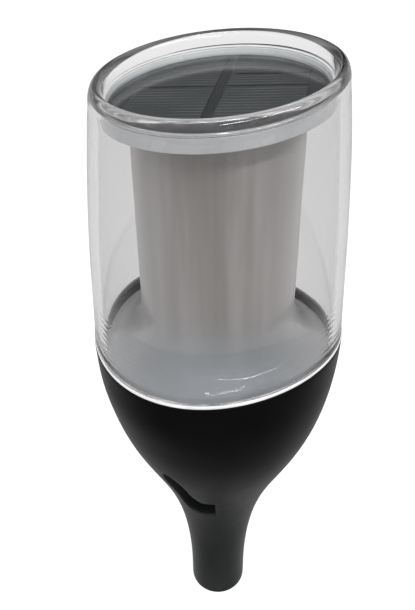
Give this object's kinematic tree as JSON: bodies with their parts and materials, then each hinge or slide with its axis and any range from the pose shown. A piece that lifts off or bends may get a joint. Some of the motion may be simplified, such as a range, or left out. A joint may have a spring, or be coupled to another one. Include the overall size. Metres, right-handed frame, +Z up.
{
  "type": "solar garden light head",
  "caption": "Solar garden light head: clear slanted cup over a frosted tube, solar panel in the rim, black bowl tapering to a pole socket.",
  "frame": {"origin": "centre of the neck's open end, at the bottom of the light", "axes": "+Z up along the light's axis; -Y towards the low side of the slanted rim; +X completes the right-handed set"},
  "size_m": [0.1184, 0.1184, 0.3306],
  "materials": {
    "satin_black_plastic": "satin black, faint mould texture",
    "clear_plastic": "clear, thick, polished",
    "pale_silicone": "pale translucent silicone",
    "frosted_plastic": "frosted, translucent, glossy at the dish",
    "white_plastic": "glossy white",
    "circuit_board": "solder mask over fibreboard",
    "white_board": "white solder mask",
    "solar_cell": "dark silicon with fine grid lines",
    "panel_cover": "clear cover sheet",
    "red_wire": "insulated wire",
    "black_wire": "insulated wire",
    "steel": "zinc plated",
    "led": "phosphor over white package",
    "black_component": "moulded black",
    "black_plastic": "plain black",
    "battery_sleeve": "shrink sleeve, no lettering",
    "plated_contact": "nickel plated",
    "white_plunger": "plain white",
    "black_rubber": "matt black rubber"
  },
  "bodies": {
    "base": {"base_shell": "satin_black_plastic", "cup_gasket": "pale_silicone", "panel_socket": "white_plastic", "deck": "white_plastic", "deck_screw_1": "steel", "deck_screw_2": "steel", "deck_screw_3": "steel", "led_board": "white_board", "led_1": "led", "led_2": "led", "led_3": "led", "led_4": "led", "main_board": "circuit_board", "control_chip": "black_component", "boost_coil": "black_component", "board_header": "black_component", "battery_holder": "black_plastic", "battery_cell": "battery_sleeve", "contact_spring": "plated_contact", "contact_plate": "plated_contact", "battery_wire_red": "red_wire", "battery_wire_black": "black_wire", "switch_body": "black_component", "switch_wire_a": "black_wire", "switch_wire_b": "red_wire"},
    "top": {"clear_cup": "clear_plastic", "diffuser": "frosted_plastic", "panel_tray": "white_plastic", "panel_board": "circuit_board", "solar_cell_left": "solar_cell", "solar_cell_right": "solar_cell", "panel_cover": "panel_cover", "panel_seal": "pale_silicone", "panel_wire_red": "red_wire", "panel_wire_black": "black_wire", "panel_plug": "white_plastic"},
    "button": {"switch_button": "black_rubber", "switch_plunger": "white_plunger"}
  },
  "joints": [
    {"name": "top_lift", "type": "slide", "parent": "base", "child": "top", "axis": [0, 0, 1], "range_m": [0, 0.08]},
    {"name": "switch_press", "type": "slide", "parent": "base", "child": "button", "axis": [-0.342, 0.9397, 0], "range_m": [0, 0.0015], "stiffness_N_per_m": 400, "springref_m": -0.0005}
  ]
}
